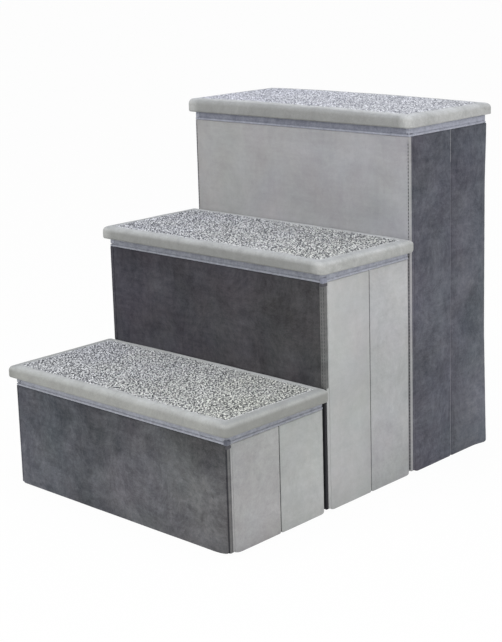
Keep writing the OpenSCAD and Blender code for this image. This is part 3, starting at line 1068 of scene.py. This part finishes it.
def hinge_cloth(k, side):
    """Velour, binding and hem across a side wall's crease and front corner, and its rear corner."""
    wall, material = Wall(f"{side}_{k}_front"), FLANK[k, "front"]
    right = side == "right"
    rear_low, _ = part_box(f"{side}_{k}_rear_velour")
    front_low, front_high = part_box(f"{side}_{k}_front_velour")
    sign, crease, corner = (1, wall.w, 0) if right else (-1, 0, wall.w)
    gap = rear_low.y - front_high.y
    hinge = front_low.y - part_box(f"front_{k}_velour")[1].y
    low, high = wall.h + LINING_GAP, wall.top
    top = wall.h - WEB_SHORT
    head = low - CREASE_HEAD_H if k == 3 else top

    def web(z0, z1):
        return bar(WEB_DEEP, WEB_DEEP + WEB_T, z0, z1, WEB_R)

    band = bar(BINDING_INSET + 0.1 * MM, BINDING_INSET + 1.2 * MM, low + HEM_H, high - 1.5 * MM,
               0.3 * MM)
    crease_parts = {"web": (web(HINGE_FOOT[1], head), CREASE_LIGHT_AND_SHADE[k], WEB_OVER),
                    "band": (band, LIT_BINDING["side", k], BAND_OVER),
                    "hem": (hem_profile(wall), LIT_HEM["side", k], BAND_OVER)}
    corner_parts = {**crease_parts, "web": (web(SIDE_FOOT[k][1], top), material, WEB_OVER)}
    if k == 3:
        crease_parts["head"] = (web(head, top), CREASE_HEAD_HIGHLIGHT, WEB_OVER)
    halves = (f"{side}_{k}_front", f"{side}_{k}_rear")
    for part, (profile, cloth, over) in crease_parts.items():
        reach = (crease - sign * over, crease + sign * (gap + over))
        bridge(f"{side}_{k}_crease_{part}", wall, profile, reach,
               cloth, halves)
    bodies = (FRONT_BODY[k], halves[0]) if right or k == 3 else halves[:1]
    for part, (profile, cloth, over) in corner_parts.items():
        reach = (corner - sign * (hinge + CORNER_OVER), corner + sign * over)
        bridge(f"{side}_{k}_corner_{part}", wall, profile, reach,
               cloth, bodies)
    rear = Wall(f"rear_{k}")
    edge = 0 if right else rear.w
    bodies = (halves[1], REAR_BODY[k])
    start = edge - sign * REAR_OVER
    bridge(f"{side}_{k}_rear_web", rear, web(HINGE_FOOT[1], top), (start, edge + sign * CORNER_OVER),
           material, bodies if right or k != 3 else bodies[:1])


def dress(node, material):
    """A CAD node whose shape is right keeps it, and gets a better material."""
    mesh = frame["nodes"][node].data
    mesh.materials.clear()
    mesh.materials.append(material)


for k in BOXES:
    storage_box(k)
    lid_border(k)
    lid_carpet(k)
    base_sheet(k)
    dress(f"lid_{k}_board", FIBREBOARD)
    dress(f"lid_{k}_foam", FOAM)
    dress(f"lid_{k}_hooks", HOOKS_AND_SLIT_SHADE)
for k in (1, 2):
    dress(f"link_tapes_{k}", HOOKS_AND_SLIT_SHADE)


# Floor, light and camera

def for_camera(tree, plain, shown, share, output):
    """The camera sees that share of the second shader. All other light comes from the first."""
    ray = tree.nodes.new("ShaderNodeLightPath").outputs["Is Camera Ray"]
    part = tree.nodes.new("ShaderNodeMath")
    part.operation = "MULTIPLY"
    part.inputs[1].default_value = share
    mix = tree.nodes.new("ShaderNodeMixShader")
    for source, target in ((ray, part.inputs[0]), (part.outputs[0], mix.inputs[0]),
                           (plain.outputs[0], mix.inputs[1]), (shown.outputs[0], mix.inputs[2]),
                           (mix.outputs[0], tree.nodes[output].inputs["Surface"])):
        tree.links.new(source, target)


def floor():
    n = Nodes("floor")
    shader = n.tree.nodes["Principled BSDF"]
    n.feed(shader, {"Base Color": FLOOR_COLOUR, "Roughness": 0.9, "Specular IOR Level": 0.1})
    glow = n.tree.nodes.new("ShaderNodeEmission")
    n.feed(glow, {"Color": WHITE})
    for_camera(n.tree, shader, glow, FLOOR_GLOW, "Material Output")
    far = FLOOR_REACH
    corners = [(-far, -far, 0), (far, -far, 0), (far, far, 0), (-far, far, 0)]
    make("floor", corners, [(0, 1, 2, 3)], n.material)


def world():
    made = bpy.data.worlds.new("studio")
    scene.world = made
    made.use_nodes = True
    tree = made.node_tree
    ambient = tree.nodes["Background"]
    ambient.inputs["Color"].default_value = WHITE
    ambient.inputs["Strength"].default_value = AMBIENT
    white = tree.nodes.new("ShaderNodeBackground")
    white.inputs["Color"].default_value = WHITE
    for_camera(tree, ambient, white, 1, "World Output")


def lamp(name, place, aim, power):
    data = bpy.data.lights.new(name, "AREA")
    data.shape = "DISK"
    data.size = LAMP_SIZE
    data.energy = power
    made = bpy.data.objects.new(name, data)
    made.location = place
    made.rotation_euler = (Vector(aim) - Vector(place)).to_track_quat("-Z", "Y").to_euler()
    scene.collection.objects.link(made)


def camera():
    data = bpy.data.cameras.new("camera")
    data.lens = LENS
    data.sensor_width = SENSOR_W
    data.shift_x, data.shift_y = SHIFT
    made = bpy.data.objects.new("camera", data)
    turn = (AIM - EYE).to_track_quat("-Z", "Y").to_matrix().to_4x4()
    made.matrix_world = Matrix.Translation(EYE) @ turn @ Matrix.Rotation(-ROLL, 4, "Z")
    scene.collection.objects.link(made)
    scene.camera = made


floor()
world()
for row in LAMPS:
    lamp(*row)
camera()
scene.view_settings.view_transform = "Standard"
